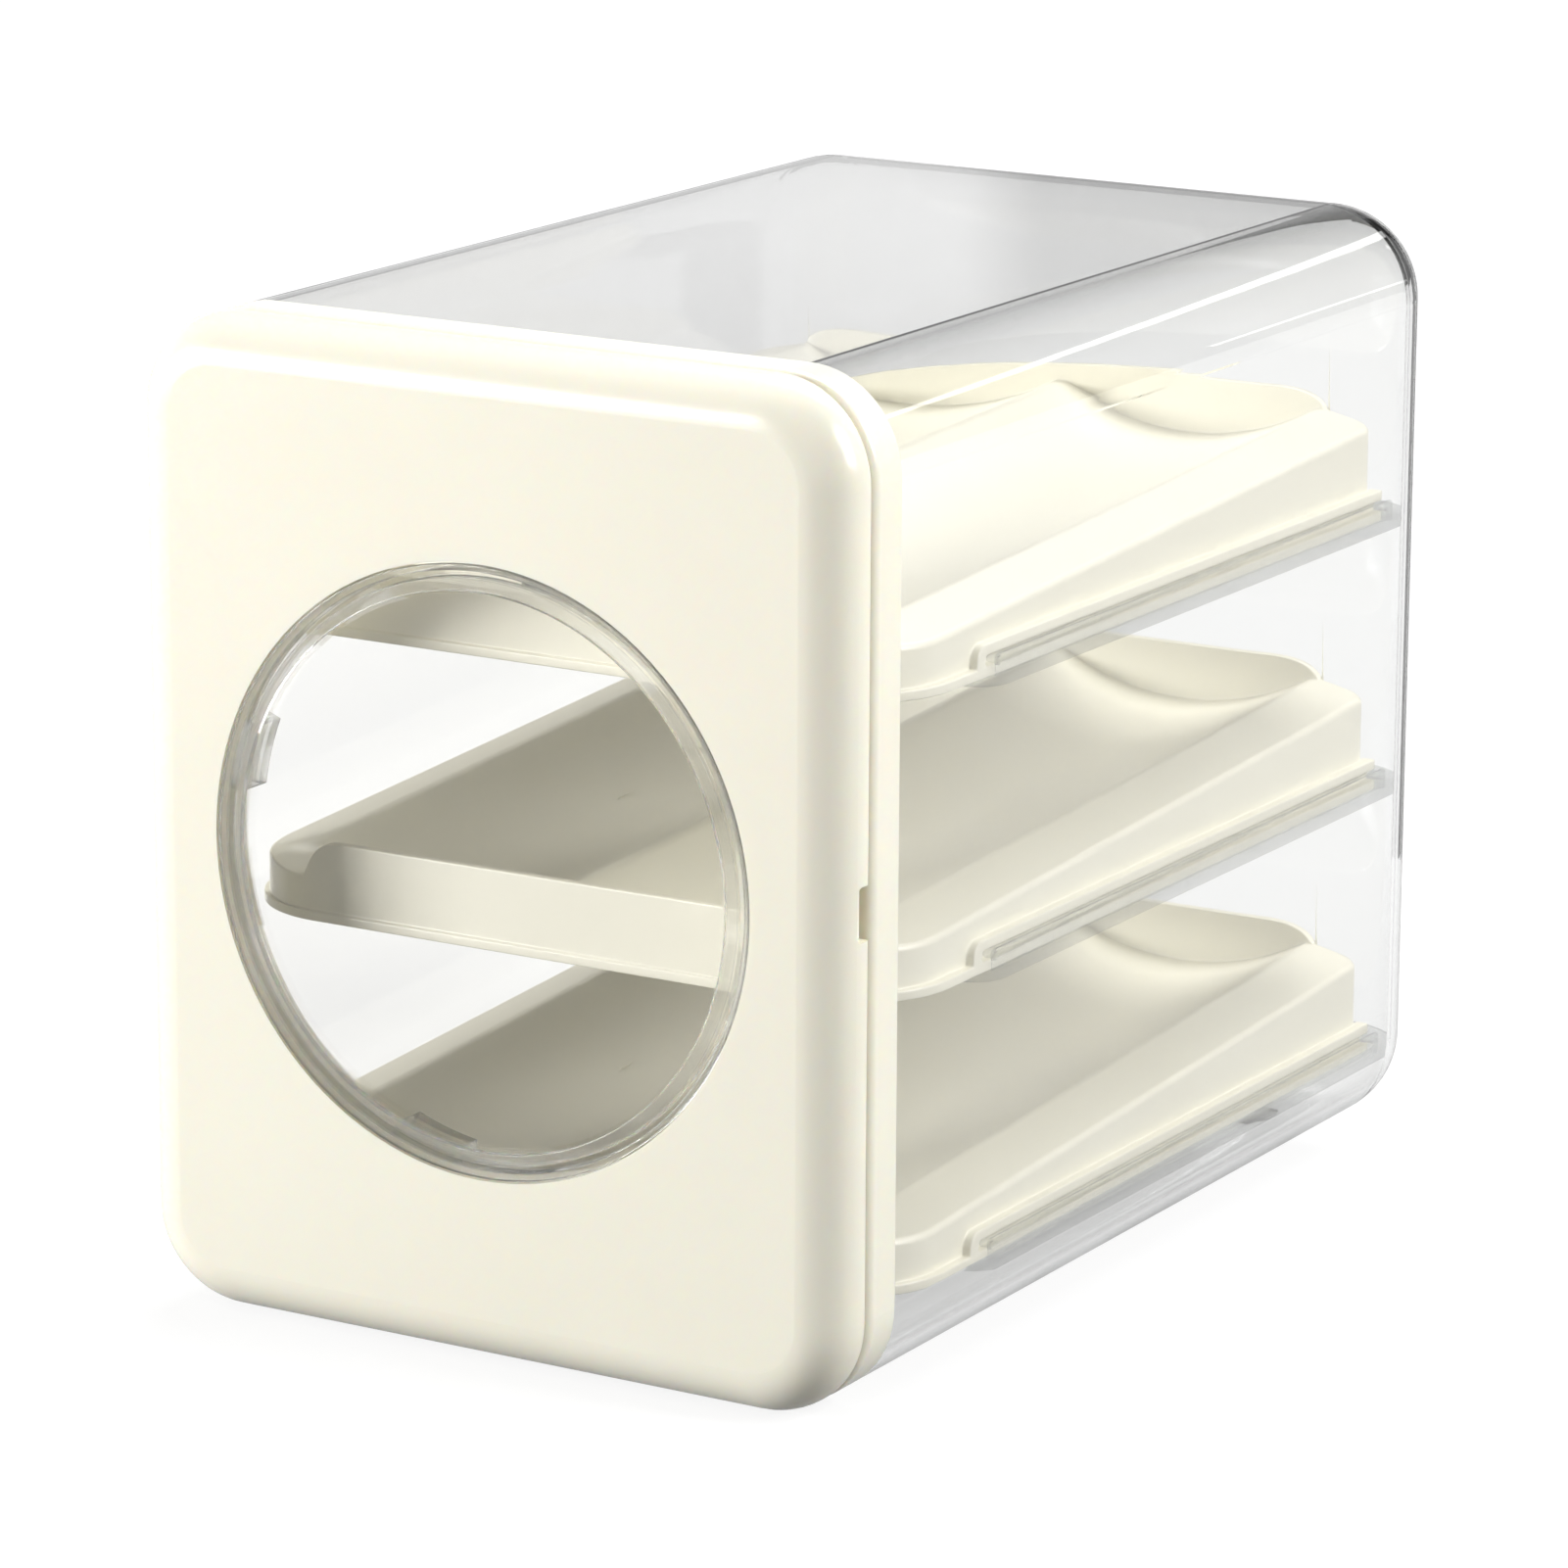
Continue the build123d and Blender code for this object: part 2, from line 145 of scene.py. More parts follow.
def clear_plastic(name, body_tint, rim_shade_sharpness, wave_height, straight, shadow, disc=None):
    """Clear plastic, with a painted shade that darkens its colour at the rims, where it is seen edge-on.
    straight is the share of what lies behind that is seen unbent, and shadow is how much of a lamp's light
    each face lets through. Within disc, a height and a radius, all that is seen is bent as the plastic
    bends it."""
    material, tree, output = new_material(name)
    place = add_node(tree, "ShaderNodeTexCoord").outputs["Object"]
    wave = add_node(
        tree, "ShaderNodeTexNoise", {"Vector": place, "Scale": clear_wave_scale, "Detail": 1.0}
    )
    bump = add_node(
        tree, "ShaderNodeBump", {"Height": wave.outputs["Fac"], "Strength": 1.0, "Distance": wave_height}
    )
    # Painted shade: the plastic's colour turns dark where its surface is seen edge-on.
    edge = add_node(tree, "ShaderNodeLayerWeight", {"Blend": 0.5})
    rim_shade_share = add_node(
        tree, "ShaderNodeMath", {0: edge.outputs["Facing"], 1: rim_shade_sharpness}, operation="POWER"
    )
    rim_shaded_tint = blend_colours(tree, rim_shade_share.outputs[0], body_tint, clear_painted_rim_shade)
    clear = add_node(
        tree,
        "ShaderNodeBsdfPrincipled",
        {
            "Base Color": rim_shaded_tint,
            "Roughness": 0.0,
            "IOR": clear_ior,
            "Transmission Weight": 1.0,
            "Normal": bump.outputs["Normal"],
        },
    )
    unbent = add_node(tree, "ShaderNodeBsdfTransparent", {"Color": rim_shaded_tint})
    flat = add_node(tree, "ShaderNodeMath", {0: 1.0, 1: rim_shade_share.outputs[0]}, operation="SUBTRACT")
    share = add_node(tree, "ShaderNodeMath", {0: flat.outputs[0], 1: straight}, operation="MULTIPLY")
    if disc:
        outside = beyond_disc(tree, place, *disc)
        share = add_node(
            tree, "ShaderNodeMath", {0: share.outputs[0], 1: outside}, operation="MULTIPLY"
        )
    seen = add_node(
        tree, "ShaderNodeMixShader", {0: share.outputs[0], 1: clear.outputs[0], 2: unbent.outputs[0]}
    )
    through = add_node(tree, "ShaderNodeBsdfTransparent", {"Color": (shadow, shadow, shadow, 1.0)})
    path = add_node(tree, "ShaderNodeLightPath")
    lets_light = add_node(
        tree,
        "ShaderNodeMath",
        {0: path.outputs["Is Shadow Ray"], 1: path.outputs["Is Diffuse Ray"]},
        operation="MAXIMUM",
    )
    surface = add_node(
        tree, "ShaderNodeMixShader", {0: lets_light.outputs[0], 1: seen.outputs[0], 2: through.outputs[0]}
    )
    tree.links.new(surface.outputs[0], output.inputs["Surface"])
    depth = add_node(
        tree, "ShaderNodeVolumeAbsorption", {"Color": clear_depth_colour, "Density": clear_absorption}
    )
    tree.links.new(depth.outputs[0], output.inputs["Volume"])
    return material


box_clear = clear_plastic(
    "clear_plastic", clear_tint, rim_shade_sharpness=6.0, wave_height=0.00004, straight=0.0, shadow=clear_shadow
)
dress("shell", box_clear)

# Shelves: clear plates of the same plastic, bonded across the box, each with a channel and a rib
# along its sides that guide a tray's runners. Their cut edges are rounded a little, and the plastic
# carries a painted shade where it is seen edge-on, so they show as a dark line beside a bright one.
shelf_edge_radius = 0.0004
weld_distance = 2e-6
flat_within = math.radians(0.4)
rounded_from = math.radians(40)
crease_from = math.radians(50)
shelf_clear = clear_plastic(
    "shelf_plastic", clear_tint, rim_shade_sharpness=10.0, wave_height=0.00002, straight=0.85, shadow=clear_shadow
)


def keep_flats(piece):
    """Weight the shading by face size, so flat faces stay flat beside their rounded edges."""
    piece.modifiers.new("flats", "WEIGHTED_NORMAL").keep_sharp = True


def soft_edged(name, radius, finish):
    """A welded copy of a CAD node, with its sharp edges rounded off to a radius, in one finish."""
    mesh = nodes[name].data.copy()
    form = bmesh.new()
    form.from_mesh(mesh)
    bmesh.ops.remove_doubles(form, verts=form.verts, dist=weld_distance)
    bmesh.ops.dissolve_limit(form, angle_limit=flat_within, verts=form.verts, edges=form.edges)
    edges = [edge for edge in form.edges if edge.calc_face_angle(0.0) > rounded_from]
    bmesh.ops.bevel(
        form, geom=edges, offset=radius, segments=2, profile=0.5, affect="EDGES", clamp_overlap=False
    )
    bmesh.ops.triangulate(form, faces=form.faces)
    form.to_mesh(mesh)
    form.free()
    mesh.shade_smooth()
    mesh.set_sharp_from_angle(angle=crease_from)
    mesh.materials.clear()
    mesh.materials.append(finish)
    piece = bpy.data.objects.new(name + "_moulding", mesh)
    scene.collection.objects.link(piece)
    keep_flats(piece)
    return piece


for level in ("lower", "middle", "upper"):
    shelf = soft_edged("shelf_" + level, shelf_edge_radius, shelf_clear)
    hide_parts("shelf_" + level)
    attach(shelf, "case")

# Front frame: a cream band moulded in the door's plastic and bonded on the clear box's front end.
# The surface is satin, with the faint cloudy grain of a spark-eroded mould.
frame_cream = (0.905, 0.880, 0.760, 1.0)
frame_shade = (0.975, 0.970, 0.955)
cloud_scale = 26.0
gloss_scale = 55.0
gloss_spread = 0.025
glow_colour = (1.0, 0.7, 0.35)
glow_depth = 0.0018
moulded_ior = 1.5


def moulded_plastic(name, colour, shade, roughness, glow, grain_scale, grain_height):
    """Opaque satin plastic: slightly uneven colour and gloss, a fine mould grain and soft edges."""
    material, tree, output = new_material(name)
    place = add_node(tree, "ShaderNodeTexCoord").outputs["Object"]
    cloud = add_node(tree, "ShaderNodeTexNoise", {"Vector": place, "Scale": cloud_scale, "Detail": 4.0})
    darker = tuple(part * share for part, share in zip(colour, shade + (1.0,)))
    tone = blend_colours(tree, cloud.outputs["Fac"], colour, darker)
    patch = add_node(tree, "ShaderNodeTexNoise", {"Vector": place, "Scale": gloss_scale, "Detail": 1.0})
    smooth, rough = roughness - gloss_spread, roughness + gloss_spread
    gloss = add_node(
        tree, "ShaderNodeMapRange", {"Value": patch.outputs["Fac"], "To Min": smooth, "To Max": rough}
    )
    grain = add_node(tree, "ShaderNodeTexNoise", {"Vector": place, "Scale": grain_scale, "Detail": 1.0})
    relief = add_node(
        tree, "ShaderNodeBump", {"Height": grain.outputs["Fac"], "Strength": 1.0, "Distance": grain_height}
    )
    body = add_node(
        tree,
        "ShaderNodeBsdfPrincipled",
        {
            "Base Color": tone,
            "Roughness": gloss.outputs["Result"],
            "IOR": moulded_ior,
            "Subsurface Weight": glow,
            "Subsurface Radius": glow_colour,
            "Subsurface Scale": glow_depth,
            "Normal": relief.outputs["Normal"],
        },
    )
    tree.links.new(body.outputs[0], output.inputs["Surface"])
    return material


cream = moulded_plastic(
    "cream_plastic",
    frame_cream,
    frame_shade,
    roughness=0.24,
    glow=0.35,
    grain_scale=2600.0,
    grain_height=0.000008,
)
dress("front_frame", cream)

# Door panel: a cream moulding with broad rounded edges and a round opening. It is hollow behind, with
# a collar round the opening, two ribs, hinge arms on the left and catch tongues on the right.
dress("door_panel", cream)

# Window lens: a clear polystyrene cup snapped into the door's opening, turned from one outline: a
# disc, a short wall behind it and a flange in front, with four snaps that hook behind the door's
# collar. Its rounded edges, with a painted shade where the plastic is seen edge-on, show as fine
# pale and dark lines round the opening.
door_front_y = cad_low[1]
window_height = 0.105
flange_outer = 0.0639
flange_inner = 0.0583
cup_outer = 0.0624
cup_inner = 0.0609
disc_flat = 0.0600
hook_outer = 0.0665
flange_depth = 0.0016
disc_front_depth = 0.0019
disc_back_depth = 0.0035
cup_depth = 0.0066
snap_start_depth = 0.00662
hook_depth = 0.01155
snap_end_depth = 0.01335
# Depths run back from the door's front face. The points at disc_flat keep the disc's rounded rim out
# of the shading of its flat faces.
cup_outline = [
    (0.0, disc_front_depth),
    (0.0, disc_back_depth),
    (disc_flat, disc_back_depth),
    (cup_inner, disc_back_depth),
    (cup_inner, cup_depth),
    (cup_outer, cup_depth),
    (cup_outer, flange_depth),
    (flange_outer, flange_depth),
    (flange_outer, 0.0),
    (flange_inner, 0.0),
    (flange_inner, flange_depth),
    (cup_inner, flange_depth),
    (cup_inner, disc_front_depth),
    (disc_flat, disc_front_depth),
]
snap_outline = [
    (cup_inner, snap_start_depth),
    (cup_inner, snap_end_depth),
    (hook_outer, snap_end_depth),
    (hook_outer, hook_depth),
    (cup_outer, hook_depth),
    (cup_outer, snap_start_depth),
]
path_radius = 0.001
joint_distance = 1e-6
edge_steps = 3
crisp_from = math.radians(42)


def node_form(name, sizes):
    """A new geometry tree with a named input for each size, and its input node."""
    tree = bpy.data.node_groups.new(name, "GeometryNodeTree")
    tree.interface.new_socket("Geometry", in_out="OUTPUT", socket_type="NodeSocketGeometry")
    for title, value in sizes.items():
        whole = isinstance(value, int)
        kind = "NodeSocketInt" if whole else "NodeSocketFloat"
        tree.interface.new_socket(title, in_out="INPUT", socket_type=kind)
    return tree, add_node(tree, "NodeGroupInput")


def turned(tree, points, edge_radius, steps, sweep=None):
    """A form turned about the Z axis from an outline of (radius, height), its corners rounded. The
    outline rides a tiny circle, or an arc of it for a sweep in radians."""
    runs = tree.nodes.new("GeometryNodeJoinGeometry")
    for (r1, z1), (r2, z2) in zip(points, points[1:] + points[:1]):
        if r1 + r2 > 0.0:
            run = add_node(
                tree,
                "GeometryNodeCurvePrimitiveLine",
                {"Start": (r1 - path_radius, -z1, 0.0), "End": (r2 - path_radius, -z2, 0.0)},
            )
            tree.links.new(run.outputs[0], runs.inputs[0])
    mesh = add_node(tree, "GeometryNodeCurveToMesh", {"Curve": runs.outputs[0]})
    joined = add_node(
        tree, "GeometryNodeMergeByDistance", {"Geometry": mesh.outputs[0], "Distance": joint_distance}
    )
    line = add_node(tree, "GeometryNodeMeshToCurve", {"Mesh": joined.outputs[0]})
    soft = add_node(
        tree,
        "GeometryNodeFilletCurve",
        {"Curve": line.outputs[0], "Count": edge_steps, "Radius": edge_radius, "Limit Radius": True},
        mode="POLY",
    )
    if sweep is None:
        path = add_node(
            tree, "GeometryNodeCurvePrimitiveCircle", {"Resolution": steps, "Radius": path_radius}
        )
    else:
        path = add_node(
            tree,
            "GeometryNodeCurveArc",
            {
                "Resolution": steps,
                "Radius": path_radius,
                "Start Angle": -sweep / 2,
                "Sweep Angle": sweep,
            },
        )
    form = add_node(
        tree,
        "GeometryNodeCurveToMesh",
        {"Curve": path.outputs[0], "Profile Curve": soft.outputs[0], "Fill Caps": sweep is not None},
    )
    closed = add_node(
        tree, "GeometryNodeMergeByDistance", {"Geometry": form.outputs[0], "Distance": weld_distance}
    )
    return closed.outputs[0]


def finish_form(tree, geometry, material):
    """Smooth faces with crisp edges, instances made real, and the finish set."""
    angle = add_node(tree, "GeometryNodeInputMeshEdgeAngle")
    crisp = add_node(tree, "ShaderNodeMath", {0: angle.outputs[0], 1: crisp_from}, operation="GREATER_THAN")
    real = add_node(tree, "GeometryNodeRealizeInstances", {"Geometry": geometry})
    smooth = add_node(tree, "GeometryNodeSetShadeSmooth", {"Geometry": real.outputs[0]}, domain="FACE")
    edged = add_node(
        tree,
        "GeometryNodeSetShadeSmooth",
        {"Geometry": smooth.outputs[0], "Selection": crisp.outputs[0], "Shade Smooth": False},
        domain="EDGE",
    )
    done = add_node(
        tree, "GeometryNodeSetMaterial", {"Geometry": edged.outputs[0], "Material": material}
    )
    output = tree.nodes.new("NodeGroupOutput")
    tree.links.new(done.outputs[0], output.inputs[0])


def bake_form(name, tree, sizes):
    """Run a tree on an empty mesh with its sizes, and keep the result as one plain mesh."""
    holder = bpy.data.objects.new(name + "_tree", bpy.data.meshes.new(name + "_start"))
    scene.collection.objects.link(holder)
    rule = holder.modifiers.new("form", "NODES")
    rule.node_group = tree
    for item in tree.interface.items_tree:
        if item.in_out == "INPUT":
            rule[item.identifier] = sizes[item.name]
    ready = holder.evaluated_get(bpy.context.evaluated_depsgraph_get())
    mesh = bpy.data.meshes.new_from_object(ready)
    mesh.name = name
    finish = mesh.materials[-1]
    mesh.materials.clear()
    mesh.materials.append(finish)
    bpy.data.objects.remove(holder)
    form = bmesh.new()
    form.from_mesh(mesh)
    bmesh.ops.recalc_face_normals(form, faces=form.faces)
    form.to_mesh(mesh)
    form.free()
    piece = bpy.data.objects.new(name, mesh)
    scene.collection.objects.link(piece)
    keep_flats(piece)
    return piece


snap_steps = 13
snap_sweep = math.radians(15)
lens_tint = (0.990, 0.990, 0.985, 1.0)
view_radius = 0.0575
lens_clear = clear_plastic(
    "clear_lens",
    lens_tint,
    rim_shade_sharpness=5.0,
    wave_height=0.00001,
    straight=0.3,
    shadow=0.96,
    disc=(window_height, view_radius),
)
lens_sizes = {
    "Edge Radius": 0.00025,
    "Steps": 192,
    "Snap Count": 4,
    "Snap Start": math.radians(15),
    "Front": door_front_y,
    "Height": window_height,
}
tree, given = node_form("lens_form", lens_sizes)
cup = turned(tree, cup_outline, given.outputs["Edge Radius"], given.outputs["Steps"])
snap = turned(tree, snap_outline, given.outputs["Edge Radius"], snap_steps, snap_sweep)
ring = add_node(tree, "GeometryNodePoints", {"Count": given.outputs["Snap Count"]})
number = add_node(tree, "GeometryNodeInputIndex")
share = add_node(
    tree, "ShaderNodeMath", {0: 2 * math.pi, 1: given.outputs["Snap Count"]}, operation="DIVIDE"
)
turn = add_node(
    tree,
    "ShaderNodeMath",
    {0: number.outputs[0], 1: share.outputs[0], 2: given.outputs["Snap Start"]},
    operation="MULTIPLY_ADD",
)
facing = add_node(tree, "ShaderNodeCombineXYZ", {"Z": turn.outputs[0]})
snaps = add_node(
    tree,
    "GeometryNodeInstanceOnPoints",
    {"Points": ring.outputs[0], "Instance": snap, "Rotation": facing.outputs[0]},
)
lens_parts = tree.nodes.new("GeometryNodeJoinGeometry")
tree.links.new(cup, lens_parts.inputs[0])
tree.links.new(snaps.outputs[0], lens_parts.inputs[0])
seat = add_node(tree, "ShaderNodeCombineXYZ", {"Y": given.outputs["Front"], "Z": given.outputs["Height"]})
upright = (-math.pi / 2, 0.0, 0.0)
placed = add_node(
    tree,
    "GeometryNodeTransform",
    {"Geometry": lens_parts.outputs[0], "Translation": seat.outputs[0], "Rotation": upright},
)
finish_form(tree, placed.outputs[0], lens_clear)
lens = bake_form("window_cup", tree, lens_sizes)
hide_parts("window_lens")
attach(lens, "door")

# Hinge pins: plain steel wire 2 mm thick, cut and chamfered, pressed into the frame's bosses. Drawing
# leaves fine lines along the wire.
steel_colour = (0.62, 0.61, 0.59, 1.0)
steel_smooth = 0.18
steel_rough = 0.34
drawn_scale = 9000.0
drawn_stretch = (1.0, 1.0, 0.04)
steel, tree, output = new_material("pin_steel")
place = add_node(tree, "ShaderNodeTexCoord").outputs["Object"]
stretch = add_node(tree, "ShaderNodeMapping", {"Vector": place, "Scale": drawn_stretch})
drawn = add_node(tree, "ShaderNodeTexNoise", {"Vector": stretch.outputs[0], "Scale": drawn_scale})
polish = add_node(
    tree,
    "ShaderNodeMapRange",
    {"Value": drawn.outputs["Fac"], "To Min": steel_smooth, "To Max": steel_rough},
)
metal = add_node(
    tree,
    "ShaderNodeBsdfPrincipled",
    {"Base Color": steel_colour, "Metallic": 1.0, "Roughness": polish.outputs["Result"]},
)
tree.links.new(metal.outputs[0], output.inputs["Surface"])
for name in ("hinge_pin_lower", "hinge_pin_upper"):
    dress(name, steel)

# Trays: three cream mouldings in a softer, slightly rougher plastic than the door's, each with two
# sloping troughs, a lip at both ends and a grooved runner on each side. Their moulded edges are
# rounded a little, as a trimmed and polished mould leaves them.
tray_colour = (0.840, 0.815, 0.690, 1.0)
tray_shade = (0.98, 0.97, 0.95)
tray_edge_radius = 0.0004
tray_cream = moulded_plastic(
    "tray_plastic",
    tray_colour,
    tray_shade,
    roughness=0.34,
    glow=0.0,
    grain_scale=45.0,
    grain_height=0.00008,
)
for level in ("lower", "middle", "upper"):
    tray = soft_edged("tray_" + level, tray_edge_radius, tray_cream)
    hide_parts("tray_" + level)
    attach(tray, level + "_tray")

# Feet: four soft pale rubber pads, bonded in shallow recesses under the box. Each is turned from one
# outline with two raised grip rings below, and placed on the corners of a two by two grid.
pad_colour = (0.62, 0.62, 0.58, 1.0)
pad_smooth = 0.55
pad_rough = 0.70
skin_scale = 1500.0
skin_height = 0.00005
pad_radius = 0.0060
pad_top = 0.0014
pad_hollow = 0.0003
grip_rings = ((0.0049, 0.0057), (0.0030, 0.0038))
pad, tree, output = new_material("foot_pad")
place = add_node(tree, "ShaderNodeTexCoord").outputs["Object"]
skin = add_node(tree, "ShaderNodeTexNoise", {"Vector": place, "Scale": skin_scale, "Detail": 3.0})
relief = add_node(
    tree, "ShaderNodeBump", {"Height": skin.outputs["Fac"], "Strength": 0.4, "Distance": skin_height}
)
tone = add_node(
    tree, "ShaderNodeMapRange", {"Value": skin.outputs["Fac"], "To Min": pad_smooth, "To Max": pad_rough}
)
rubber = add_node(
    tree,
    "ShaderNodeBsdfPrincipled",
    {
        "Base Color": pad_colour,
        "Roughness": tone.outputs["Result"],
        "Normal": relief.outputs["Normal"],
    },
)
tree.links.new(rubber.outputs[0], output.inputs["Surface"])
pad_outline = [(0.0, pad_hollow), (0.0, pad_top), (pad_radius, pad_top)]
for inner, outer in grip_rings:
    pad_outline += [
        (outer + pad_hollow, pad_hollow),
        (outer, 0.0),
        (inner, 0.0),
        (inner - pad_hollow, pad_hollow),
    ]
foot_sizes = {"Edge Radius": 0.00008, "Steps": 64, "Spread X": 0.114, "Spread Y": 0.202}
tree, given = node_form("foot_form", foot_sizes)
one_pad = turned(tree, pad_outline, given.outputs["Edge Radius"], given.outputs["Steps"])
corners = add_node(
    tree,
    "GeometryNodeMeshGrid",
    {
        "Size X": given.outputs["Spread X"],
        "Size Y": given.outputs["Spread Y"],
        "Vertices X": 2,
        "Vertices Y": 2,
    },
)
pads = add_node(
    tree, "GeometryNodeInstanceOnPoints", {"Points": corners.outputs["Mesh"], "Instance": one_pad}
)
finish_form(tree, pads.outputs[0], pad)
feet = bake_form("foot_pads", tree, foot_sizes)
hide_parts(*[name for name in nodes if name.startswith("foot")])
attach(feet, "case")

# Studio: a plain pale floor, a white surround and soft lamps. A low key lamp stands at the front left,
# one at the right and one above the back, with two thin strips behind the right side that draw the
# white lines along the clear box's top edge.
scene.view_settings.view_transform = "Standard"
scene.cycles.max_bounces = 24
scene.cycles.transmission_bounces = 20
scene.cycles.transparent_max_bounces = 32
floor_reach = 6.0
floor_albedo = 0.20
floor_near = 0.84
floor_far = 0.96
fade_from = 0.25
fade_to = 1.6
floor_mirrored = 0.55
white = (1.0, 1.0, 1.0, 1.0)


def seen_flag(tree):
    """1 for rays from the camera or through a clear wall, less for reflections, and 0 for the rest."""
    path = add_node(tree, "ShaderNodeLightPath")
    mirror = add_node(
        tree, "ShaderNodeMath", {0: path.outputs["Is Glossy Ray"], 1: floor_mirrored}, operation="MULTIPLY"
    )
    flag = mirror.outputs[0]
    for kind in ("Is Camera Ray", "Is Transmission Ray"):
        either = add_node(tree, "ShaderNodeMath", {0: flag, 1: path.outputs[kind]}, operation="MAXIMUM")
        flag = either.outputs[0]
    return flag


floor_corners = [
    (-floor_reach, -floor_reach, 0.0),
    (floor_reach, -floor_reach, 0.0),
    (floor_reach, floor_reach, 0.0),
    (-floor_reach, floor_reach, 0.0),
]
floor_mesh = bpy.data.meshes.new("floor")
floor_mesh.from_pydata(floor_corners, [], [(0, 1, 2, 3)])
floor = bpy.data.objects.new("floor", floor_mesh)
scene.collection.objects.link(floor)
paper, tree, output = new_material("floor_paper")
place = add_node(tree, "ShaderNodeTexCoord").outputs["Object"]
reach = add_node(tree, "ShaderNodeVectorMath", {0: place}, operation="LENGTH")
glow = add_node(
    tree,
    "ShaderNodeMapRange",
    {
        "Value": reach.outputs["Value"],
        "From Min": fade_from,
        "From Max": fade_to,
        "To Min": floor_near,
        "To Max": floor_far,
    },
)
matte = add_node(tree, "ShaderNodeBsdfDiffuse", {"Color": (floor_albedo, floor_albedo, floor_albedo, 1.0)})
lift = add_node(
    tree, "ShaderNodeMath", {0: seen_flag(tree), 1: glow.outputs["Result"]}, operation="MULTIPLY"
)
light = add_node(tree, "ShaderNodeEmission", {"Color": white, "Strength": lift.outputs[0]})
both = add_node(tree, "ShaderNodeAddShader", {0: matte.outputs[0], 1: light.outputs[0]})
tree.links.new(both.outputs[0], output.inputs["Surface"])
floor_mesh.materials.append(paper)

# The surround is white to the camera. What shines in the plastic fades to dark overhead, and it is
# dimmer to the right and past a grey flag behind the set, which gives the clear walls their soft
# bands. What the clear edges bend up from the floor is dark too, and a little light comes from all
# sides.
ambient = 0.13
mirror_ends = ((0.02, 1.0), (0.50, 0.03))
mirror_between = ((0.15, 1.25), (0.20, 1.0))
flag_edge = (-0.565, -0.545)
flag_level = 0.66
right_edge = (0.0, 0.3)
right_level = 0.5
bent_levels = (0.12, 0.03)
bent_reach = 0.5
world = bpy.data.worlds.new("studio")
scene.world = world
world.use_nodes = True
tree = world.node_tree
tree.nodes.clear()
output = add_node(tree, "ShaderNodeOutputWorld")
path = add_node(tree, "ShaderNodeLightPath")
direction = add_node(tree, "ShaderNodeTexCoord").outputs["Generated"]
axes = add_node(tree, "ShaderNodeSeparateXYZ", {0: direction})
mirrored = add_node(tree, "ShaderNodeValToRGB", {0: axes.outputs["Z"]})
ramp = mirrored.color_ramp
ramp.interpolation = "EASE"
for stop, (position, grey) in zip(ramp.elements, mirror_ends):
    stop.position = position
    stop.color = (grey, grey, grey, 1.0)
for position, grey in mirror_between:
    stop = ramp.elements.new(position)
    stop.color = (grey, grey, grey, 1.0)


def fade(tree, value, span, levels, **settings):
    """A level that goes from the first to the second while a value crosses the span."""
    start, end = span
    first, second = levels
    inputs = {"Value": value, "From Min": start, "From Max": end, "To Min": first, "To Max": second}
    return add_node(tree, "ShaderNodeMapRange", inputs, **settings).outputs["Result"]


slant = add_node(tree, "ShaderNodeMath", {0: axes.outputs["X"], 1: axes.outputs["Y"]}, operation="DIVIDE")
flag = fade(tree, slant.outputs[0], flag_edge, (1.0, flag_level), interpolation_type="SMOOTHSTEP")
right_side = fade(tree, axes.outputs["X"], right_edge, (1.0, right_level))
bent = fade(tree, axes.outputs["Z"], (0.0, bent_reach), bent_levels)
flags = add_node(tree, "ShaderNodeMath", {0: flag, 1: right_side}, operation="MULTIPLY")
shaded = add_node(
    tree, "ShaderNodeMath", {0: mirrored.outputs[0], 1: flags.outputs[0]}, operation="MULTIPLY"
)


def pick(tree, factor, otherwise, chosen):
    """The chosen value where the factor is 1, and the other one where it is 0."""
    node = add_node(tree, "ShaderNodeMix", data_type="FLOAT")
    for number, value in ((0, factor), (2, otherwise), (3, chosen)):
        if isinstance(value, bpy.types.NodeSocket):
            tree.links.new(value, node.inputs[number])
        else:
            node.inputs[number].default_value = value
    return node.outputs[0]


brightness = pick(tree, path.outputs["Is Glossy Ray"], ambient, shaded.outputs[0])
brightness = pick(tree, path.outputs["Is Transmission Ray"], brightness, bent)
brightness = pick(tree, path.outputs["Is Camera Ray"], brightness, 1.0)
sky = add_node(tree, "ShaderNodeBackground", {"Color": white, "Strength": brightness})
tree.links.new(sky.outputs[0], output.inputs["Surface"])

lamp_aim = Vector((0.0, 0.0, 0.11))


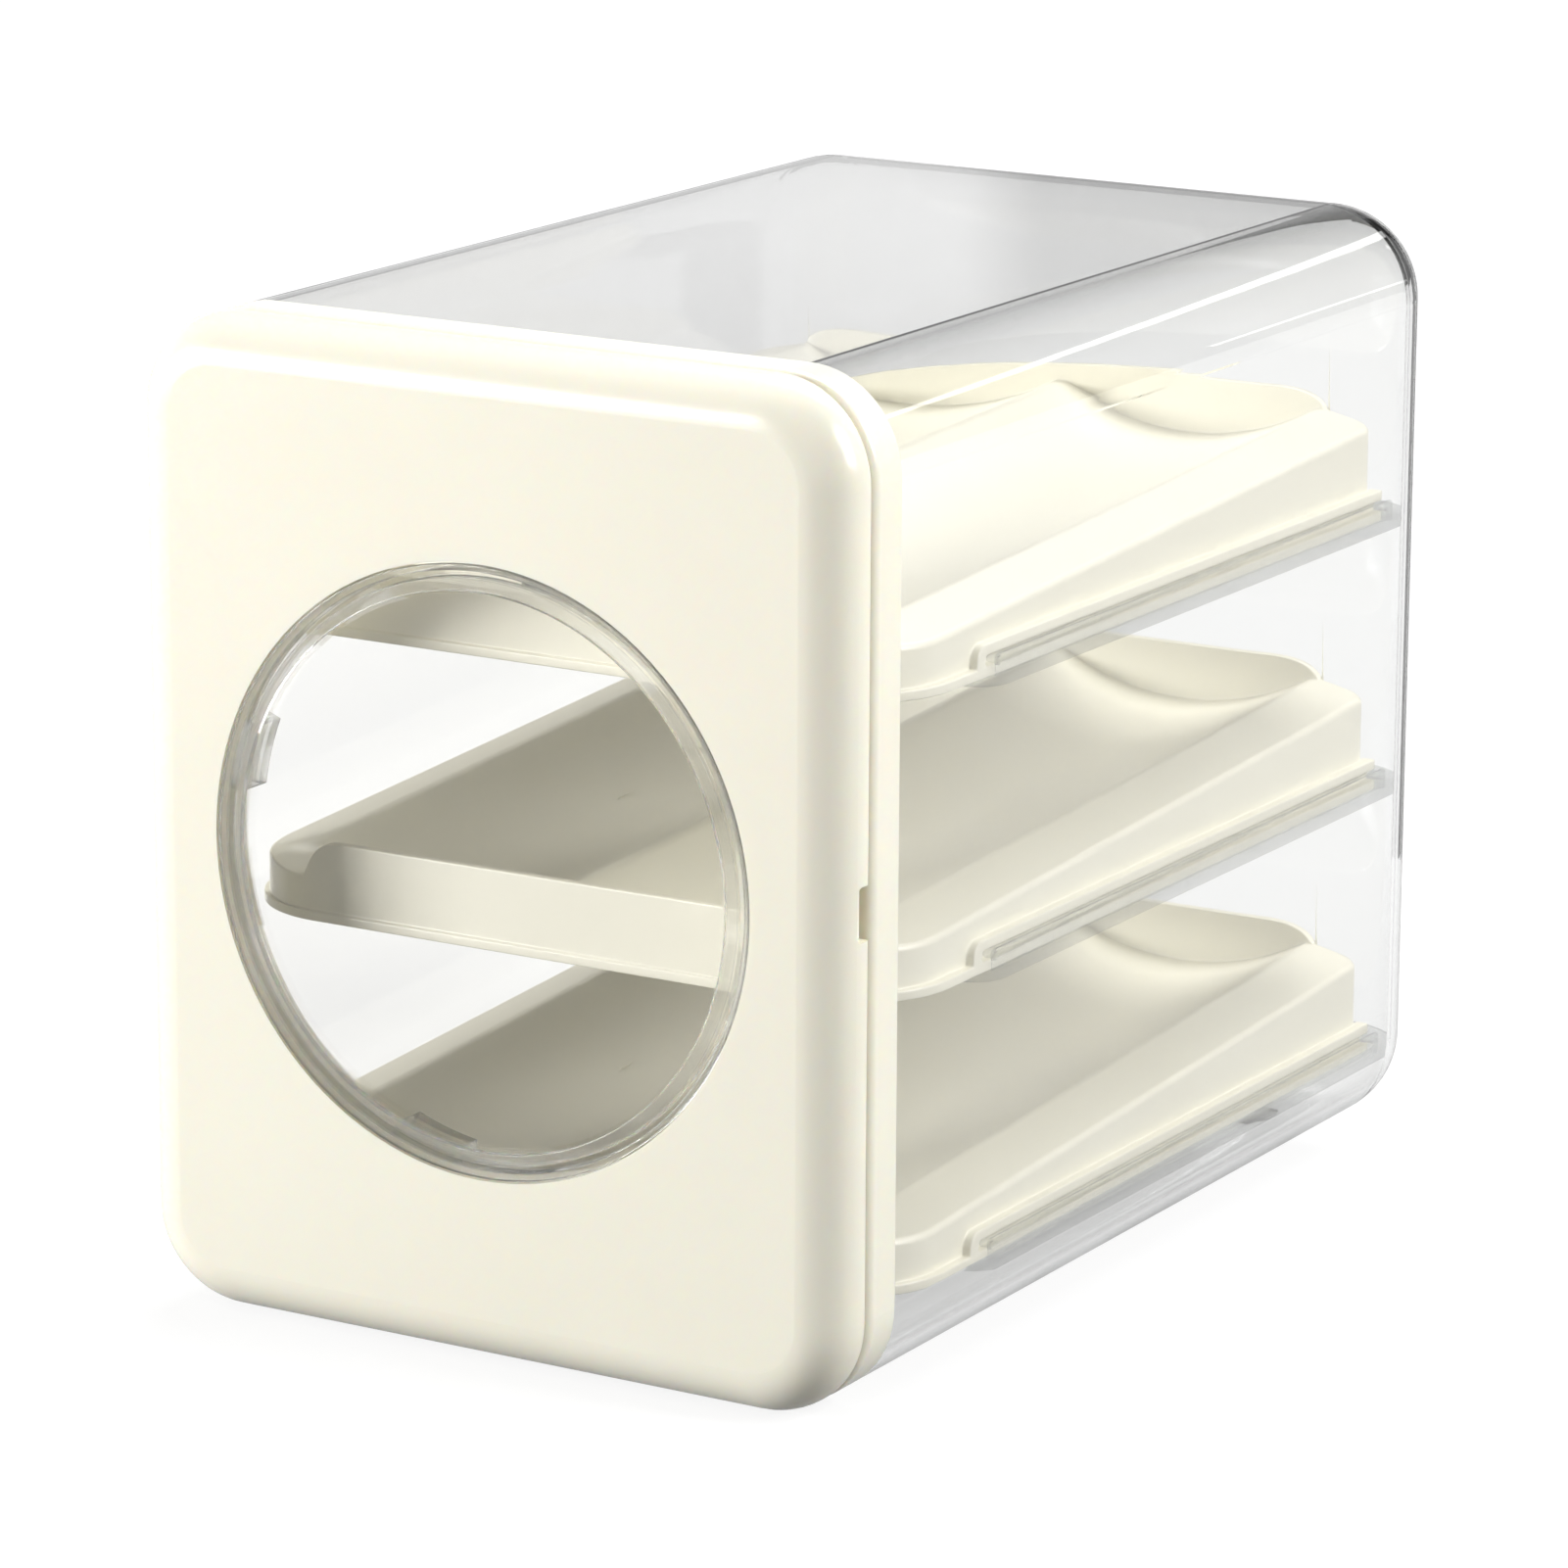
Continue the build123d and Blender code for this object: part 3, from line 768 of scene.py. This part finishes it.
def soft_lamp(name, azimuth, elevation, distance, size, brightness):
    """A soft lamp aimed at the box. brightness is what a white card facing it would reflect."""
    turn, rise = math.radians(azimuth), math.radians(elevation)
    away_from_box = Vector(
        (math.sin(turn) * math.cos(rise), -math.cos(turn) * math.cos(rise), math.sin(rise))
    )
    data = bpy.data.lights.new(name, "AREA")
    data.shape = "RECTANGLE"
    data.size, data.size_y = size
    data.energy = brightness * math.pi**2 * distance**2
    lamp = bpy.data.objects.new(name, data)
    scene.collection.objects.link(lamp)
    face = away_from_box.to_track_quat("Z", "Y").to_matrix().to_4x4()
    lamp.matrix_world = Matrix.Translation(lamp_aim + away_from_box * distance) @ face
    lamp.visible_camera = False


soft_lamp("key_lamp", azimuth=-44, elevation=11, distance=2.2, size=(1.2, 0.6), brightness=1.225)
soft_lamp("side_lamp", azimuth=97, elevation=30, distance=1.6, size=(0.5, 0.9), brightness=1.02)
soft_lamp("top_lamp", azimuth=190, elevation=60, distance=1.6, size=(1.2, 0.8), brightness=0.88)
soft_lamp("rear_strip", azimuth=162, elevation=27.5, distance=1.5, size=(0.56, 0.045), brightness=0.010)
soft_lamp("low_strip", azimuth=150.5, elevation=7, distance=1.5, size=(0.09, 0.03), brightness=0.0006)

# A narrow black card stands behind the box, seen only in the plastic, and darkens its rear edge.
card_left, card_right, card_y, card_top = 0.03, 0.09, 0.36, 0.32
felt_colour = (0.02, 0.02, 0.02, 1.0)
card_corners = [
    (card_left, card_y, 0.0),
    (card_right, card_y, 0.0),
    (card_right, card_y, card_top),
    (card_left, card_y, card_top),
]
card_mesh = bpy.data.meshes.new("edge_card")
card_mesh.from_pydata(card_corners, [], [(0, 1, 2, 3)])
card = bpy.data.objects.new("edge_card", card_mesh)
scene.collection.objects.link(card)
for ray in ("camera", "shadow", "diffuse"):
    setattr(card, "visible_" + ray, False)
black, tree, output = new_material("black_card")
felt = add_node(tree, "ShaderNodeBsdfDiffuse", {"Color": felt_colour})
tree.links.new(felt.outputs[0], output.inputs["Surface"])
card_mesh.materials.append(black)
